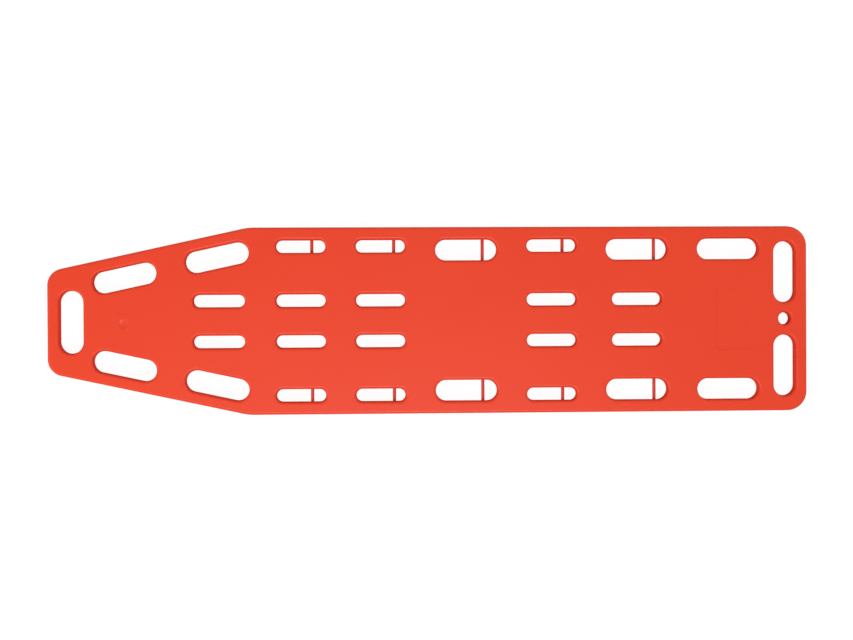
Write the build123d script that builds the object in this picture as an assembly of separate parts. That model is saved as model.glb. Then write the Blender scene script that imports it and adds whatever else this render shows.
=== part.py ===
from build123d import *
from collections import namedtuple
from math import atan2, cos, degrees, radians, sin, tan
import os

# Spine board: a hollow plastic rescue board with hand slots and strap pins.
# Millimetres. +X runs from the foot end to the head end, +Y to the left, +Z up.
# The origin is under the middle of the board, on the floor that its runners rest on.

# Panel, seen from above at the parting plane where it is widest
board_width = 453.0
side_draw_in = 2.5
foot_width = 245.0
taper_length = 482.2
foot_corner_radius = 41.0
shoulder_radius = 150.0
head_corner_radius = 48.0

# Panel, seen in section
panel_thickness = 45.0
wall = 4.0
draft = 2.0
deck_lip = 6.0
underside_lip = 8.0

# Webs between the slots and the edges of the board
edge_web = 29.0
head_end_web = 28.2
foot_end_web = 29.2
bridge = 73.2
shoulder_gap = 67.9
head_margin = 117.6
foot_grip_margin = 101.1
shoulder_grip_margin = 10.8

# Slots, with the webs that set how long the end slots are
small_length = 119.0
small_width = 30.2
large_length = 148.5
large_width = 50.2
slanted_width = 52.0
head_slot_width = 52.0
head_slot_side_web = 36.4
foot_slot_width = 57.0
foot_slot_side_web = 46.7
inner_row_offset = 49.4
first_inner_pitch = 197.4
first_inner_length = 123.4
eye_diameter = 29.0
eye_web = 25.1

# Strap pins, each set back from the head-side end of its slot
pin_diameter = 8.0
pin_seat = 12.0
pin_boss_wall = 4.0
pin_setbacks = [33.0, 27.0, 34.0, 32.0, 31.0]

# Runners under the board
runner_height = 12.0
runner_root = 26.0
runner_base = 20.0
runner_edge_radius = 2.5
runner_inset = 15.0

# Stiffener tubes in the foam, with their caps and the ribs that cradle them
tube_diameter = 20.0
tube_wall = 2.0
tube_end_gap = 12.0
cap_flange = 3.0
cap_stem = 12.0
rib_count = 6
rib_thickness = 4.0
rib_width = 32.0
rib_end_inset = 60.0

# Ports for the foam, with their plugs, on the centreline of the underside
plug_head_diameter = 26.0
plug_head = 2.0
plug_stem_diameter = 20.0
plug_stem = 8.0
port_boss_wall = 7.0
fill_port_from_foot = 270.0
vent_port_from_head = 300.0

# Shallow places moulded into the deck
recess_length = 78.6
recess_width = 149.0
recess_corner = 6.0
recess_depth = 0.8
recess_from_head = 181.6
mark_diameter = 24.0
mark_bar_length = 34.0
mark_bar_width = 3.0
mark_depth = 0.6
mark_from_foot = 182.6
mark_disc_y = -5.0
mark_bar_y = 20.0

Slot = namedtuple("Slot", "x y length width angle")

# Lengths that follow from the slots: the outer row fills the straight part of the board
outer_row = [
    (small_length, small_width),
    (small_length, small_width),
    (large_length, large_width),
    (small_length, small_width),
    (large_length, large_width),
    (large_length, large_width),
]
row_length = sum(length for length, width in outer_row) + bridge * (len(outer_row) - 1)
board_length = taper_length + shoulder_gap + row_length + head_margin
head_x = board_length / 2
foot_x = -head_x
shoulder_x = foot_x + taper_length

# Half widths at the shoulder, the head end and the foot end
half_shoulder = board_width / 2
half_head = half_shoulder - side_draw_in
half_foot = foot_width / 2

# Heights
floor_z = runner_height
half_thickness = panel_thickness / 2
parting_z = runner_height + half_thickness
deck_z = runner_height + panel_thickness

# The tapered edge
taper_angle = degrees(atan2(half_shoulder - half_foot, taper_length))
taper_edge = taper_length / cos(radians(taper_angle))
slanted_length = (taper_edge - foot_grip_margin - shoulder_grip_margin - bridge) / 2


def mirrored(slot):
    return Slot(slot.x, -slot.y, slot.length, slot.width, -slot.angle)


def slanted_slot(start):
    """A grip along the tapered edge; start is measured along that edge from the foot end."""
    along = start + slanted_length / 2
    inward = edge_web + slanted_width / 2
    turn = radians(taper_angle)
    x = foot_x + along * cos(turn) + inward * sin(turn)
    y = half_foot + along * sin(turn) - inward * cos(turn)
    return Slot(x, y, slanted_length, slanted_width, taper_angle)


def outer_row_slots():
    slots = []
    start = shoulder_x + shoulder_gap
    for length, width in outer_row:
        y = half_head - edge_web - width / 2
        slots.append(Slot(start + length / 2, y, length, width, 0.0))
        start += length + bridge
    return slots


outer_slots = outer_row_slots()
inner_stations = [outer_slots[i].x for i in (0, 1, 3, 4)]
inner_slots = [Slot(x, inner_row_offset, small_length, small_width, 0.0) for x in inner_stations]
first_inner_x = outer_slots[0].x - first_inner_pitch
inner_slots.insert(0, Slot(first_inner_x, inner_row_offset, first_inner_length, small_width, 0.0))
foot_grip = slanted_slot(foot_grip_margin)
shoulder_grip = slanted_slot(foot_grip_margin + slanted_length + bridge)

# The head slots reach from the web beside the eye to the web along the side
eye_x = head_x - head_end_web - head_slot_width / 2
head_slot_from = eye_diameter / 2 + eye_web
head_slot_to = half_head - head_slot_side_web
head_slot_y = (head_slot_from + head_slot_to) / 2
head_slot = Slot(eye_x, head_slot_y, head_slot_to - head_slot_from, head_slot_width, 90.0)
foot_slot_length = foot_width - 2 * foot_slot_side_web
foot_slot_x = foot_x + foot_end_web + foot_slot_width / 2
foot_slot = Slot(foot_slot_x, 0.0, foot_slot_length, foot_slot_width, 90.0)
left_slots = outer_slots + inner_slots + [foot_grip, shoulder_grip, head_slot]
slots = left_slots + [mirrored(slot) for slot in left_slots] + [foot_slot]

# The tubes and runners lie midway between the inner row and the pin bosses of the large slots,
# from the shoulder grips to the head slots
pin_reach = pin_seat + pin_boss_wall
corridor_inner = inner_row_offset + small_width / 2 + wall
corridor_outer = half_head - edge_web - large_width - pin_reach
tube_y = (corridor_inner + corridor_outer) / 2
slant = radians(shoulder_grip.angle)
grip_end_x = shoulder_grip.x + (slanted_length - slanted_width) / 2 * cos(slant) + slanted_width / 2
tube_start = grip_end_x + wall + tube_end_gap
tube_end = head_slot.x - head_slot_width / 2 - wall - tube_end_gap


def outline(inset):
    """The board seen from above, drawn in by an even amount."""
    right = [(foot_x, -half_foot), (shoulder_x, -half_shoulder), (head_x, -half_head)]
    left = [(x, -y) for x, y in reversed(right)]
    face = make_face(Polyline(*right, *left, close=True))
    corners = face.vertices().sort_by(Axis.X)
    face = fillet(corners[0:2], foot_corner_radius)
    corners = face.vertices().sort_by(Axis.X)
    face = fillet([v for v in corners if abs(v.X - shoulder_x) < 1], shoulder_radius)
    corners = face.vertices().sort_by(Axis.X)
    face = fillet(corners[-2:], head_corner_radius)
    if inset:
        face = offset(face, amount=-inset)
    return face


def drafted_hole(slot, grow, height):
    """A slot that is narrowest at the parting plane and opens upwards with the draft."""
    flare = grow + height * tan(radians(draft))
    face = SlotOverall(slot.length + 2 * flare, slot.width + 2 * flare)
    tool = extrude(face, amount=height, taper=draft)
    tool = Pos(0, 0, height) * mirror(tool, about=Plane.XY)
    return Pos(slot.x, slot.y, 0) * Rot(0, 0, slot.angle) * tool


def half_blank(lip):
    """Half of the panel as if solid, standing on the parting plane at z = 0."""
    blank = extrude(outline(0), amount=half_thickness, taper=draft)
    blank -= [drafted_hole(slot, 0, half_thickness) for slot in slots]
    blank -= Pos(eye_x, 0, half_thickness / 2) * Cylinder(eye_diameter / 2, half_thickness)
    rim = blank.faces().sort_by(Axis.Z)[-1].edges()
    return fillet(rim, lip)


def half_interior():
    """The space inside half of the panel, standing on the parting plane at z = 0."""
    height = half_thickness - wall
    space = extrude(outline(wall), amount=height, taper=draft)
    space -= [drafted_hole(slot, wall, height) for slot in slots]
    eye_collar = Pos(eye_x, 0, height / 2) * Cylinder(eye_diameter / 2 + wall, height)
    return space - eye_collar


def to_deck(half):
    """Places a half as the upper moulding."""
    return Pos(0, 0, parting_z) * half


def to_underside(half):
    """Places a half as the lower moulding."""
    return Pos(0, 0, parting_z) * mirror(half, about=Plane.XY)


def y_rod(x, y, z, diameter, length):
    return Pos(x, y, z) * Rot(90, 0, 0) * Cylinder(diameter / 2, length)


def x_rod(x, y, z, diameter, length):
    return Pos(x, y, z) * Rot(0, 90, 0) * Cylinder(diameter / 2, length)


def runner(side, inset, top_z, bottom_z):
    """A long tapered skid under one side of the board, drawn in by an even amount."""
    length = tube_end - tube_start - 2 * (runner_inset + inset)
    middle = (tube_end + tube_start) / 2
    slope = degrees(atan2((runner_root - runner_base) / 2, runner_height))
    foot = SlotOverall(length, runner_root - 2 * inset)
    body = mirror(extrude(foot, amount=top_z - bottom_z, taper=slope), about=Plane.XY)
    return Pos(middle, side * tube_y, top_z) * body


def solid_runner(side):
    body = runner(side, 0, floor_z, 0)
    edge = body.faces().sort_by(Axis.Z)[0].edges()
    return fillet(edge, runner_edge_radius)


def pin_places():
    """The middle of each pin and the width of the slot that it crosses, on the left side."""
    places = []
    for slot, setback in zip(outer_slots, pin_setbacks):
        places.append((slot.x + slot.length / 2 - setback, slot.y, slot.width))
    return places


def strap_pin(x, y, slot_width):
    return y_rod(x, y, parting_z, pin_diameter, slot_width + 2 * pin_seat)


def pin_bosses():
    """Solid plastic round both ends of each pin, behind the slot walls."""
    bosses = []
    for x, y, slot_width in pin_places():
        for end in (-1, 1):
            middle = y + end * (slot_width + pin_reach) / 2
            for side in (-1, 1):
                place = (x, side * middle, parting_z)
                bosses.append(y_rod(*place, pin_diameter + 2 * pin_boss_wall, pin_reach))
    return bosses


def tube_ribs(bottom_z, top_z):
    """Cross ribs that hold the tubes."""
    first = tube_start + rib_end_inset
    step = (tube_end - rib_end_inset - first) / (rib_count - 1)
    height = top_z - bottom_z
    ribs = []
    for index in range(rib_count):
        for side in (-1, 1):
            place = Pos(first + index * step, side * tube_y, (bottom_z + top_z) / 2)
            ribs.append(place * Box(rib_thickness, rib_width, height))
    return ribs


def port_places():
    return {"fill_plug": foot_x + fill_port_from_foot, "vent_plug": head_x - vent_port_from_head}


def plug(x):
    """A headed plug whose head lies flush with the underside."""
    head = Pos(x, 0, floor_z + plug_head / 2) * Cylinder(plug_head_diameter / 2, plug_head)
    stem = Pos(x, 0, floor_z + plug_head + plug_stem / 2) * Cylinder(plug_stem_diameter / 2, plug_stem)
    return head + stem


def port_boss(x):
    height = plug_head + plug_stem
    return Pos(x, 0, floor_z + height / 2) * Cylinder(plug_stem_diameter / 2 + port_boss_wall, height)


def deck_recess():
    """A shallow rectangular place near the head end, left bare."""
    sketch = RectangleRounded(recess_length, recess_width, recess_corner)
    return Pos(head_x - recess_from_head, 0, deck_z - recess_depth) * extrude(sketch, amount=recess_depth)


def deck_mark():
    """A plain disc and bar between the foot grips."""
    x = foot_x + mark_from_foot
    disc = Pos(x, mark_disc_y) * Circle(mark_diameter / 2)
    bar = Pos(x, mark_bar_y) * Rectangle(mark_bar_length, mark_bar_width)
    place = Pos(0, 0, deck_z - mark_depth)
    return [place * extrude(sketch, amount=mark_depth) for sketch in (disc, bar)]


def write(node, shape):
    export_step(shape, f"parts/{node}.step")


os.makedirs("parts", exist_ok=True)
sides = {"left": 1, "right": -1}

# The pins, tubes and plugs come first, because the mouldings and the foam fit round them.
pins = {}
for number, (x, y, slot_width) in enumerate(pin_places(), start=1):
    for side_name, side in sides.items():
        pins[f"strap_pin_{side_name}_{number}"] = strap_pin(x, side * y, slot_width)

capped_tubes = []
for side_name, side in sides.items():
    tube_length = tube_end - tube_start - 2 * cap_flange
    middle = (tube_start + tube_end) / 2
    bore = tube_diameter - 2 * tube_wall
    outside = x_rod(middle, side * tube_y, parting_z, tube_diameter, tube_length)
    tube = outside - x_rod(middle, side * tube_y, parting_z, bore, tube_length)
    write(f"stiffener_tube_{side_name}", tube)
    for end_name, end_x, inward in (("foot", tube_start, 1), ("head", tube_end, -1)):
        flange = x_rod(end_x + inward * cap_flange / 2, side * tube_y, parting_z, tube_diameter, cap_flange)
        stem_x = end_x + inward * (cap_flange + cap_stem / 2)
        stem = x_rod(stem_x, side * tube_y, parting_z, bore, cap_stem)
        write(f"tube_cap_{side_name}_{end_name}", flange + stem)
    capped_tubes.append(x_rod(middle, side * tube_y, parting_z, tube_diameter, tube_end - tube_start))

plugs = {name: plug(x) for name, x in port_places().items()}
bosses = pin_bosses()

# Each moulding is its outer form less the space inside it, which leaves the bosses and ribs standing.
upper_space = to_deck(half_interior())
upper_space -= bosses + tube_ribs(parting_z, deck_z)
upper_shell = to_deck(half_blank(deck_lip)) - upper_space
upper_shell -= capped_tubes + list(pins.values()) + [deck_recess()] + deck_mark()
write("upper_shell", upper_shell)

lower_space = to_underside(half_interior())
lower_space += [runner(side, wall, floor_z + wall, wall) for side in sides.values()]
lower_space -= bosses + tube_ribs(0, parting_z) + [port_boss(x) for x in port_places().values()]
lower_blank = to_underside(half_blank(underside_lip)) + [solid_runner(side) for side in sides.values()]
lower_shell = lower_blank - lower_space
lower_shell -= capped_tubes + list(pins.values()) + list(plugs.values())
write("lower_shell", lower_shell)

foam_core = upper_space + lower_space - capped_tubes
write("foam_core", foam_core)

for node, shape in {**pins, **plugs}.items():
    write(node, shape)
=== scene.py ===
import bmesh
import bpy
from math import atan2, cos, pi, radians, sin, tan
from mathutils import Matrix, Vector


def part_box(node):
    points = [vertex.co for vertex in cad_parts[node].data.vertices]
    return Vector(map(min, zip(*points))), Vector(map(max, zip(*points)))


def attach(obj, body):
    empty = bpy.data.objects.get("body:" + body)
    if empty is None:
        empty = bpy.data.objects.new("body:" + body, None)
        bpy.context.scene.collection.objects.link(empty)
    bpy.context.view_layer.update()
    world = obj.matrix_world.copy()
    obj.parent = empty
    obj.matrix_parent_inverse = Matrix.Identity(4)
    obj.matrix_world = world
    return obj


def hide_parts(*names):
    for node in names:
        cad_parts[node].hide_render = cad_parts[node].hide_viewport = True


# A plastic spine board lying on its runners, with its deck up and its head end towards +X.
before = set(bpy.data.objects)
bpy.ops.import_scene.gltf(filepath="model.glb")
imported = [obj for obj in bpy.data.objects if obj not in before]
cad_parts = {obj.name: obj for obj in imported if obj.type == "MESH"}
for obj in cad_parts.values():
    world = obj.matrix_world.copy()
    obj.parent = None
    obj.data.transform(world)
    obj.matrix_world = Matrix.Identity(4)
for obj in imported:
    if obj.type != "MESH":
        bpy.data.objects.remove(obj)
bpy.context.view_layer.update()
mm = 0.001


# The photograph's view
# The board is seen square from above, from four and a half metres up, so that only thin slices of
# the slot walls and of the outer edge show.
view_from = (-0.1169, 0.0551, 4.5214)
view_turns = (-0.686, -1.431, -0.312)
camera_data = bpy.data.cameras.new("photograph_view")
camera_data.sensor_fit = "HORIZONTAL"
camera_data.sensor_width = 36.0
camera_data.lens = 78.08
camera = bpy.data.objects.new("photograph_view", camera_data)
camera.location = view_from
camera.rotation_euler = [radians(turn) for turn in view_turns]
bpy.context.scene.collection.objects.link(camera)
bpy.context.scene.camera = camera


# Deck moulding
# The upper half of the hollow body, rotationally moulded in high-density polyethylene. Its deck is
# flat, its slots have rounded lips and drafted walls, and the two halves meet along a fine ridge.
board_low, board_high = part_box("upper_shell")
parting_z = board_low.z
deck_z = board_high.z
foot_x = board_low.x
head_x = board_high.x
wall = 4 * mm
draft = radians(2)
deck_lip = 6 * mm
lip_margin = 1.5 * mm
ridge = 0.3 * mm
inner_corner = 2 * mm

half_shoulder = 226.5 * mm
half_head = 224 * mm
half_foot = 122.5 * mm
taper_length = 482.2 * mm
foot_corner = 41 * mm
shoulder_corner = 150 * mm
head_corner = 48 * mm

edge_web = 29 * mm
head_end_web = 28.2 * mm
foot_end_web = 29.2 * mm
bridge = 73.2 * mm
shoulder_gap = 67.9 * mm
inner_row_offset = 49.4 * mm
first_inner_pitch = 197.4 * mm
first_inner_slot = (123.4 * mm, 30.2 * mm)
small_slot = (119 * mm, 30.2 * mm)
large_slot = (148.5 * mm, 50.2 * mm)
slanted_width = 52 * mm
foot_grip_margin = 101.1 * mm
shoulder_grip_margin = 10.8 * mm
head_slot_width = 52 * mm
head_slot_side_web = 36.4 * mm
foot_slot_width = 57 * mm
foot_slot_side_web = 46.7 * mm
eye_radius = 14.5 * mm
eye_web = 25.1 * mm

outer_row = [small_slot, small_slot, large_slot, small_slot, large_slot, large_slot]
eye_x = head_x - head_end_web - head_slot_width / 2
taper_angle = atan2(half_shoulder - half_foot, taper_length)
slanted_length = (taper_length / cos(taper_angle) - foot_grip_margin - shoulder_grip_margin - bridge) / 2


def outer_row_slots():
    slots = []
    start = foot_x + taper_length + shoulder_gap
    for length, width in outer_row:
        slots.append((start + length / 2, half_head - edge_web - width / 2, length, width, 0))
        start += length + bridge
    return slots


def slanted_slot(start):
    """A grip along the tapered edge, with its start measured along that edge from the foot end."""
    along = start + slanted_length / 2
    inward = edge_web + slanted_width / 2
    x = foot_x + along * cos(taper_angle) + inward * sin(taper_angle)
    y = half_foot + along * sin(taper_angle) - inward * cos(taper_angle)
    return (x, y, slanted_length, slanted_width, taper_angle)


def board_slots():
    """Every slot of the board as its middle, length, width and turn."""
    outer = outer_row_slots()
    inner = [(outer[index][0], inner_row_offset, *small_slot, 0) for index in (0, 1, 3, 4)]
    inner.append((outer[0][0] - first_inner_pitch, inner_row_offset, *first_inner_slot, 0))
    low, high = eye_radius + eye_web, half_head - head_slot_side_web
    head = (eye_x, (low + high) / 2, high - low, head_slot_width, pi / 2)
    grips = [slanted_slot(foot_grip_margin), slanted_slot(foot_grip_margin + slanted_length + bridge)]
    left = outer + inner + grips + [head]
    right = [(x, -y, length, width, -turn) for x, y, length, width, turn in left]
    foot_length = 2 * (half_foot - foot_slot_side_web)
    foot = (foot_x + foot_end_web + foot_slot_width / 2, 0, foot_length, foot_slot_width, pi / 2)
    return left + right + [foot]


def arc(x, y, radius, start, end, steps):
    turns = [start + (end - start) * step / steps for step in range(steps + 1)]
    return [(x + radius * cos(turn), y + radius * sin(turn)) for turn in turns]


def stadium(x, y, length, width, turn, steps=20):
    """A slot's edge as points: two straight sides with half circles at the ends."""
    radius = width / 2
    reach = length / 2 - radius
    edge = arc(reach, 0, radius, -pi / 2, pi / 2, steps)
    edge += arc(-reach, 0, radius, pi / 2, 3 * pi / 2, steps)
    return [(x + u * cos(turn) - v * sin(turn), y + u * sin(turn) + v * cos(turn)) for u, v in edge]


def board_outline(inset):
    """The board's outer edge as points, drawn in by an even amount."""
    shoulder_x = foot_x + taper_length
    right = [(foot_x, -half_foot), (shoulder_x, -half_shoulder), (head_x, -half_head)]
    corners = [Vector(point) for point in right + [(x, -y) for x, y in reversed(right)]]
    radii = [foot_corner, shoulder_corner, head_corner]
    points = []
    for index, (corner, radius) in enumerate(zip(corners, radii + radii[::-1])):
        back = (corners[index - 1] - corner).normalized()
        ahead = (corners[(index + 1) % 6] - corner).normalized()
        half_turn = back.angle(ahead) / 2
        middle = corner + (back + ahead).normalized() * radius / sin(half_turn)
        touch = corner + back * radius / tan(half_turn) - middle
        start = atan2(touch.y, touch.x)
        points += arc(middle.x, middle.y, radius - inset, start, start + pi - 2 * half_turn, 18)
    return points


def filled_sheet(name, loops, z):
    """A flat face inside the first loop, open inside the others, left in edit mode."""
    curve = bpy.data.curves.new(name, "CURVE")
    curve.dimensions = "2D"
    curve.fill_mode = "BOTH"
    for loop in loops:
        spline = curve.splines.new("POLY")
        spline.points.add(len(loop) - 1)
        for point, (x, y) in zip(spline.points, loop):
            point.co = (x, y, 0, 1)
        spline.use_cyclic_u = True
    sheet = bpy.data.objects.new(name, curve)
    bpy.context.scene.collection.objects.link(sheet)
    bpy.ops.object.select_all(action="DESELECT")
    bpy.context.view_layer.objects.active = sheet
    sheet.select_set(True)
    bpy.ops.object.convert(target="MESH")
    sheet = bpy.context.object
    bpy.ops.object.mode_set(mode="EDIT")
    bpy.ops.mesh.select_all(action="SELECT")
    bpy.ops.mesh.remove_doubles(threshold=0.01 * mm)
    bpy.ops.mesh.beautify_fill(angle_limit=pi)
    bpy.ops.transform.translate(value=(0, 0, z))
    cage = bmesh.from_edit_mesh(sheet.data)
    for face in cage.faces:
        face.normal_update()
        if face.normal.z < 0:
            face.normal_flip()
    bmesh.update_edit_mesh(sheet.data)
    return sheet


def select_open_edges(piece, loop=None):
    """Selects the open edges of a piece, or only those that lie within a loop's bounds."""
    bpy.ops.mesh.select_mode(type="EDGE")
    bpy.ops.mesh.select_all(action="DESELECT")
    spare = 0.1 * mm
    cage = bmesh.from_edit_mesh(piece.data)
    for edge in cage.edges:
        if not edge.is_boundary:
            continue
        if loop:
            low_x, high_x = min(x for x, y in loop) - spare, max(x for x, y in loop) + spare
            low_y, high_y = min(y for x, y in loop) - spare, max(y for x, y in loop) + spare
            inside = [low_x < end.co.x < high_x and low_y < end.co.y < high_y for end in edge.verts]
            if not all(inside):
                continue
        edge.select_set(True)
    bmesh.update_edit_mesh(piece.data)


def follow(profile):
    """Extrudes the selected open edges along a profile, whose steps are how far out and down they go.

    A flat step first goes down by a nudge, because the edges need a wall to be drawn in or out evenly."""
    nudge = 1 * mm
    least_step = 0.001 * mm
    for (out, drop), (next_out, next_drop) in zip(profile, profile[1:]):
        fall = next_drop - drop
        flat = abs(fall) < least_step
        down = nudge if flat else fall
        bpy.ops.mesh.extrude_edges_move(TRANSFORM_OT_translate={"value": (0, 0, -down)})
        spread = next_out - out if down > 0 else out - next_out
        if abs(spread) > least_step:
            bpy.ops.transform.shrink_fatten(value=spread, use_even_offset=True)
        if flat:
            bpy.ops.transform.translate(value=(0, 0, nudge))


def rounding(out, drop, radius, start, end, steps=7):
    """A round corner's profile about a centre, with angles from straight up, turning outwards."""
    turns = [start + (end - start) * step / steps for step in range(steps + 1)]
    return [(out + radius * sin(turn), drop - radius * cos(turn)) for turn in turns]


def half_moulding(name, lip, forms):
    """Half of the board's hollow skin, with its flat face up at the deck's height.

    Each form is a pressed or raised place in that face: its edge's points and the profile of its side."""
    depth = deck_z - parting_z
    flare = depth * tan(draft)
    grow = flare + lip + lip_margin
    loops = [board_outline(grow)]
    for x, y, length, width, turn in board_slots():
        loops.append(stadium(x, y, length + 2 * grow, width + 2 * grow, turn))
    loops.append(arc(eye_x, 0, eye_radius + grow, 0, 2 * pi, 40)[:-1])
    tray = filled_sheet(name, loops + [loop for loop, profile in forms], deck_z)
    for loop, profile in forms:
        select_open_edges(tray, loop)
        follow(profile)
        bpy.ops.mesh.edge_face_add()
    outside = [(-grow, 0)] + rounding(-flare - lip, lip, lip, 0, pi / 2 - draft)
    ridge_edge = [(0, depth - ridge), (ridge, depth - ridge), (ridge, depth)]
    inside = [(-wall, depth), (-wall - flare, wall + inner_corner), (-wall - flare - inner_corner, wall)]
    select_open_edges(tray)
    follow(outside + ridge_edge + inside)
    bpy.ops.mesh.fill(use_beauty=True)
    bpy.ops.mesh.select_all(action="SELECT")
    bpy.ops.mesh.normals_make_consistent(inside=False)
    bpy.ops.object.mode_set(mode="OBJECT")
    bpy.ops.object.shade_smooth_by_angle(angle=radians(35))
    return tray


# Two shallow places are pressed into the deck by the mould: a bare rectangle near the head end, and a
# plain disc and bar between the foot grips.
recess_length = 78.6 * mm
recess_width = 149 * mm
recess_corner = 6 * mm
recess_depth = 0.8 * mm
recess_from_head = 181.6 * mm
mark_depth = 0.6 * mm
mark_from_foot = 182.6 * mm
mark_disc = 24 * mm
mark_disc_y = -5 * mm
mark_bar_length = 34 * mm
mark_bar_width = 3 * mm
mark_bar_y = 20 * mm
mark_bar_corner = 0.8 * mm
press_edge = 0.5 * mm
press_slope = radians(70)
press_margin = 0.4 * mm


def rounded_rectangle(x, y, length, width, radius, steps=8):
    points = []
    for quarter, (side_x, side_y) in enumerate([(1, 1), (-1, 1), (-1, -1), (1, -1)]):
        corner = (x + side_x * (length / 2 - radius), y + side_y * (width / 2 - radius))
        points += arc(*corner, radius, quarter * pi / 2, (quarter + 1) * pi / 2, steps)
    return points


def pressed(depth):
    """The profile down the side of a shallow pressed place, from just outside its edge."""
    edge = rounding(press_edge / 2, press_edge, press_edge, 0, press_slope, 3)
    edge = [(out - press_edge / 2, drop) for out, drop in edge]
    foot = (edge[-1][0] + press_edge, depth)
    return [(-press_margin, 0)] + edge + [foot]


grown = 2 * press_margin
recess = rounded_rectangle(
    head_x - recess_from_head, 0, recess_length + grown, recess_width + grown, recess_corner + press_margin
)
mark_x = foot_x + mark_from_foot
disc = arc(mark_x, mark_disc_y, mark_disc / 2 + press_margin, 0, 2 * pi, 48)[:-1]
bar = rounded_rectangle(
    mark_x, mark_bar_y, mark_bar_length + grown, mark_bar_width + grown, mark_bar_corner + press_margin, 4
)
deck_forms = [(recess, pressed(recess_depth)), (disc, pressed(mark_depth)), (bar, pressed(mark_depth))]
deck = half_moulding("deck_moulding", deck_lip, deck_forms)


def from_hex(colour):
    """A hex sRGB colour as linear red, green, blue and alpha."""
    linear = []
    for start in (0, 2, 4):
        share = int(colour[start:start + 2], 16) / 255
        linear.append(share / 12.92 if share <= 0.04045 else ((share + 0.055) / 1.055) ** 2.4)
    return linear + [1]


def add_node(material, kind, settings=None, links=None):
    """Adds one node, with its properties and inputs set and its inputs linked."""
    node = material.node_tree.nodes.new(kind)
    for name, value in (settings or {}).items():
        if isinstance(name, str) and hasattr(node, name):
            setattr(node, name, value)
        else:
            node.inputs[name].default_value = value
    for name, source in (links or {}).items():
        material.node_tree.links.new(source, node.inputs[name])
    return node


def new_material(name):
    material = bpy.data.materials.new(name)
    material.use_nodes = True
    material.node_tree.nodes.clear()
    return material


def moulded_plastic(name, deep, pale, roughness):
    """Moulded polyethylene or nylon.

    It is satin and slightly waxy, with the grain of a blasted mould and a slow unevenness from
    shrinking as it cools. Upright walls are duller, because the mould's inserts are blasted coarser.
    The real grain is finer, and is drawn as coarse as it needs to show."""
    cloud_size = 160 * mm
    grain_size = 2.2 * mm
    speckle = 0.04
    material = new_material(name)
    place = add_node(material, "ShaderNodeTexCoord").outputs["Object"]
    cloud = add_node(
        material, "ShaderNodeTexNoise", {"Scale": 1 / cloud_size, "Detail": 3.0}, {"Vector": place}
    )
    grain = add_node(
        material, "ShaderNodeTexNoise", {"Scale": 1 / grain_size, "Detail": 2.0}, {"Vector": place}
    )
    colour = add_node(
        material, "ShaderNodeMix",
        {"data_type": "RGBA", 6: from_hex(deep), 7: from_hex(pale)},
        {0: cloud.outputs["Fac"]}
    )
    facing = add_node(material, "ShaderNodeNewGeometry").outputs["Normal"]
    upward = add_node(material, "ShaderNodeSeparateXYZ", None, {"Vector": facing}).outputs["Z"]
    level = add_node(material, "ShaderNodeMath", {"operation": "ABSOLUTE"}, {0: upward})
    dullness = add_node(
        material, "ShaderNodeMapRange",
        {"From Min": 0.1, "From Max": 0.7, "To Min": 0.95, "To Max": roughness},
        {"Value": level.outputs[0]}
    )
    speckles = add_node(
        material, "ShaderNodeMapRange",
        {"To Min": -speckle, "To Max": speckle},
        {"Value": grain.outputs["Fac"]}
    )
    gloss = add_node(
        material, "ShaderNodeMath", {"operation": "ADD"},
        {0: dullness.outputs["Result"], 1: speckles.outputs["Result"]}
    )
    slow = add_node(
        material, "ShaderNodeBump",
        {"Strength": 0.35, "Distance": 1.2 * mm},
        {"Height": cloud.outputs["Fac"]}
    )
    fine = add_node(
        material, "ShaderNodeBump",
        {"Strength": 0.25, "Distance": 0.15 * mm},
        {"Height": grain.outputs["Fac"], "Normal": slow.outputs["Normal"]}
    )
    surface = add_node(
        material, "ShaderNodeBsdfPrincipled",
        {"IOR": 1.54, "Specular IOR Level": 0.3},
        {"Base Color": colour.outputs[2], "Roughness": gloss.outputs[0], "Normal": fine.outputs["Normal"]}
    )
    add_node(material, "ShaderNodeOutputMaterial", None, {"Surface": surface.outputs["BSDF"]})
    return material


shell_plastic = moulded_plastic("moulded_polyethylene", "E63912", "E93E1A", 0.36)
deck.data.materials.append(shell_plastic)
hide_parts("upper_shell")
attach(deck, "root")


# Underside moulding
# The lower half of the same moulding, with softer lips for the hands and the two long runners.
underside_lip = 8 * mm
runner_height = parting_z - (deck_z - parting_z)
runner_root = 26 * mm
runner_base = 20 * mm
runner_inset = 15 * mm
runner_edge = 2.5 * mm
root_fillet = 3 * mm
runner_margin = 5 * mm
seat_depth = 2.2 * mm
seat_gap = 0.3 * mm

tube_low, tube_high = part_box("stiffener_tube_left")
runner_y = (tube_low.y + tube_high.y) / 2
cap_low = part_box("tube_cap_left_foot")[0]
cap_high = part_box("tube_cap_left_head")[1]
runner_x = (cap_low.x + cap_high.x) / 2
runner_length = cap_high.x - cap_low.x - 2 * runner_inset
runner_slope = atan2((runner_root - runner_base) / 2, runner_height)


def runner_profile():
    """From the flat underside round the root fillet, along the sloping side and round the lower edge."""
    fillet_steps, edge_steps = 4, 5
    lean = pi / 2 - runner_slope
    fillet_start = -root_fillet * tan(lean / 2)
    edge_start = runner_height * tan(runner_slope) + runner_edge * tan(lean / 2)
    profile = [(-runner_margin, 0)]
    for step in range(fillet_steps + 1):
        turn = lean * step / fillet_steps
        profile.append((fillet_start + root_fillet * sin(turn), -root_fillet * (1 - cos(turn))))
    for step in range(edge_steps + 1):
        turn = lean * (edge_steps - step) / edge_steps
        rise = runner_edge * (1 - cos(turn))
        profile.append((edge_start - runner_edge * sin(turn), rise - runner_height))
    return profile


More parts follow.
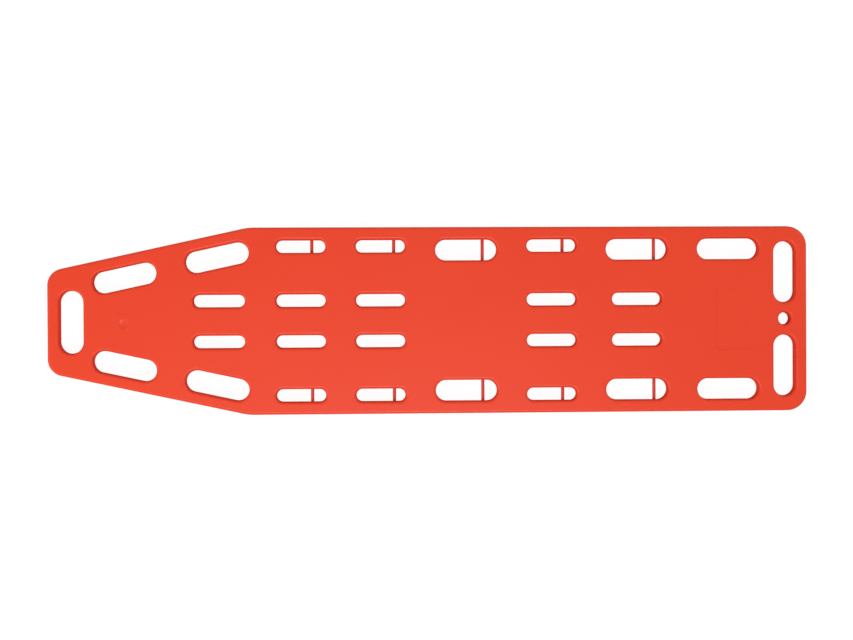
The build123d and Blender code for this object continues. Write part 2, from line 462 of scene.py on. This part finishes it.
def underside_forms():
    forms = []
    for side in (1, -1):
        length, width = runner_length + 2 * runner_margin, runner_root + 2 * runner_margin
        edge = stadium(runner_x, side * runner_y, length, width, 0, 14)
        forms.append((edge, runner_profile()))
    for name in ("fill_plug", "vent_plug"):
        low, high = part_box(name)
        radius = (high.x - low.x) / 2 + seat_gap
        edge = arc((low.x + high.x) / 2, 0, radius + press_margin, 0, 2 * pi, 48)[:-1]
        forms.append((edge, pressed(seat_depth)))
    return forms


underside = half_moulding("underside_moulding", underside_lip, underside_forms())
bpy.ops.object.mode_set(mode="EDIT")
bpy.ops.mesh.select_all(action="SELECT")
bpy.ops.transform.translate(value=(0, 0, -parting_z))
bpy.ops.transform.resize(value=(1, 1, -1), center_override=(0, 0, 0))
bpy.ops.transform.translate(value=(0, 0, parting_z))
bpy.ops.mesh.flip_normals()
bpy.ops.object.mode_set(mode="OBJECT")
underside.data.materials.append(shell_plastic)
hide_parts("lower_shell")
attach(underside, "root")


# Strap pins
# Round nylon pins across ten of the outer slots, which the straps' clips snap on to. They are moulded
# in at both ends, and the nylon is a deeper red than the shell and as satin.
def give_finish(start_of_name, finish):
    for node_name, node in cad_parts.items():
        if node_name.startswith(start_of_name):
            node.data.materials.clear()
            node.data.materials.append(finish)


give_finish("strap_pin", moulded_plastic("moulded_nylon", "D23A22", "D63E25", 0.4))


# Filling
# Rigid polyurethane foam, poured in through the filling port, which rises as fine closed cells and
# bonds the skin to the tubes. It is cream where it is light and honey-coloured where it is dense.
# The real cells are about 0.3 mm wide, and are drawn coarser so that they show.
cell_size = 1.5 * mm
rise_size = 90 * mm
foam = new_material("rigid_polyurethane_foam")
place = add_node(foam, "ShaderNodeTexCoord").outputs["Object"]
cells = add_node(foam, "ShaderNodeTexVoronoi", {"Scale": 1 / cell_size}, {"Vector": place})
rise = add_node(foam, "ShaderNodeTexNoise", {"Scale": 1 / rise_size, "Detail": 4.0}, {"Vector": place})
cream = add_node(
    foam, "ShaderNodeMix", {"data_type": "RGBA", 6: from_hex("E9D9A6"), 7: from_hex("D7B978")},
    {0: rise.outputs["Fac"]}
)
pores = add_node(
    foam, "ShaderNodeBump",
    {"Strength": 0.6, "Distance": 0.4 * mm},
    {"Height": cells.outputs["Distance"]}
)
foam_surface = add_node(
    foam, "ShaderNodeBsdfPrincipled", {"IOR": 1.5, "Roughness": 0.9},
    {"Base Color": cream.outputs[2], "Normal": pores.outputs["Normal"]}
)
add_node(foam, "ShaderNodeOutputMaterial", None, {"Surface": foam_surface.outputs["BSDF"]})
give_finish("foam_core", foam)


# Stiffener tubes
# Drawn aluminium tubes in the foam above the runners, closed at each end by a black polyethylene cap
# that keeps the foam out. The die leaves fine lengthwise lines that stretch the light along the tube,
# and they are drawn further apart than the real ones so that they show.
line_gap = 0.6 * mm
line_length = 500 * mm
drawn_metal = new_material("drawn_aluminium")
place = add_node(drawn_metal, "ShaderNodeTexCoord").outputs["Object"]
stretched = add_node(
    drawn_metal, "ShaderNodeMapping",
    {"Scale": (1 / line_length, 1 / line_gap, 1 / line_gap)},
    {"Vector": place}
)
die_lines = add_node(
    drawn_metal, "ShaderNodeTexNoise",
    {"Scale": 1.0, "Detail": 2.0},
    {"Vector": stretched.outputs["Vector"]}
)
dull = add_node(
    drawn_metal, "ShaderNodeMapRange",
    {"To Min": 0.28, "To Max": 0.42},
    {"Value": die_lines.outputs["Fac"]}
)
scored = add_node(
    drawn_metal, "ShaderNodeBump",
    {"Strength": 0.2, "Distance": 0.05 * mm},
    {"Height": die_lines.outputs["Fac"]}
)
tube_surface = add_node(
    drawn_metal, "ShaderNodeBsdfPrincipled", {"Base Color": from_hex("D2D4D6"), "Metallic": 1.0},
    {"Roughness": dull.outputs["Result"], "Normal": scored.outputs["Normal"]}
)
add_node(drawn_metal, "ShaderNodeOutputMaterial", None, {"Surface": tube_surface.outputs["BSDF"]})
give_finish("stiffener_tube", drawn_metal)
give_finish("tube_cap", moulded_plastic("black_polyethylene", "1A1A1B", "222223", 0.5))


# Port plugs
# Spin-welded polyethylene plugs that close the ports where the foam goes in and the air comes out.
# They are of the board's own plastic, and the weld's heat leaves them a little deeper in colour.
plug_plastic = moulded_plastic("welded_polyethylene", "D9330F", "DD3814", 0.45)
give_finish("fill_plug", plug_plastic)
give_finish("vent_plug", plug_plastic)


# Studio
# A plain pale floor that keeps a faint shadow and shows white, as the air round it does, and three
# white softboxes: a low one at the foot end, one overhead and one at the head end.
def background_rays(material):
    """One for the rays that see the background itself, by eye, in a gloss or through glass."""
    rays = add_node(material, "ShaderNodeLightPath").outputs
    by_eye = add_node(
        material, "ShaderNodeMath", {"operation": "MAXIMUM"},
        {0: rays["Is Camera Ray"], 1: rays["Is Glossy Ray"]}
    )
    return add_node(
        material, "ShaderNodeMath", {"operation": "MAXIMUM"},
        {0: by_eye.outputs[0], 1: rays["Is Transmission Ray"]}
    ).outputs[0]


bpy.ops.mesh.primitive_plane_add(size=30, location=(0, 0, 0))
floor = bpy.context.object
floor.name = "studio_floor"
paper = new_material("floor_paper")
lit = add_node(paper, "ShaderNodeBsdfDiffuse", {"Color": from_hex("E6E6E6")})
white_glow = add_node(paper, "ShaderNodeEmission", {"Color": from_hex("FFFFFF"), "Strength": 0.95})
faint = add_node(paper, "ShaderNodeBsdfDiffuse", {"Color": [0.1, 0.1, 0.1, 1]})
seen = add_node(paper, "ShaderNodeAddShader", None, {0: white_glow.outputs[0], 1: faint.outputs[0]})
mixed = add_node(
    paper, "ShaderNodeMixShader", None, {0: background_rays(paper), 1: lit.outputs[0], 2: seen.outputs[0]}
)
add_node(paper, "ShaderNodeOutputMaterial", None, {"Surface": mixed.outputs[0]})
floor.data.materials.append(paper)

world = bpy.data.worlds.new("studio_air")
bpy.context.scene.world = world
world.use_nodes = True
world.node_tree.nodes.clear()
ambient = add_node(world, "ShaderNodeBackground", {"Color": from_hex("FFFFFF"), "Strength": 0.5})
white = add_node(world, "ShaderNodeBackground", {"Color": from_hex("FFFFFF"), "Strength": 1.0})
mixed = add_node(
    world, "ShaderNodeMixShader", None,
    {0: background_rays(world), 1: ambient.outputs[0], 2: white.outputs[0]}
)
add_node(world, "ShaderNodeOutputWorld", None, {"Surface": mixed.outputs[0]})


def softbox(name, place, size, power):
    """A square lamp that is aimed at the board's middle."""
    lamp_data = bpy.data.lights.new(name, "AREA")
    lamp_data.shape = "SQUARE"
    lamp_data.size = size
    lamp_data.energy = power
    lamp = bpy.data.objects.new(name, lamp_data)
    lamp.location = place
    lamp.rotation_euler = (-Vector(place)).to_track_quat("-Z", "Y").to_euler()
    bpy.context.scene.collection.objects.link(lamp)


softbox("low_softbox", (-3.6, -1.4, 2.4), 2.0, 56)
softbox("overhead_softbox", (-0.1, -1.5, 3.3), 1.3, 42)
softbox("fill_softbox", (3.4, 1.6, 3.0), 2.4, 32)

bpy.context.scene.view_settings.view_transform = "Standard"
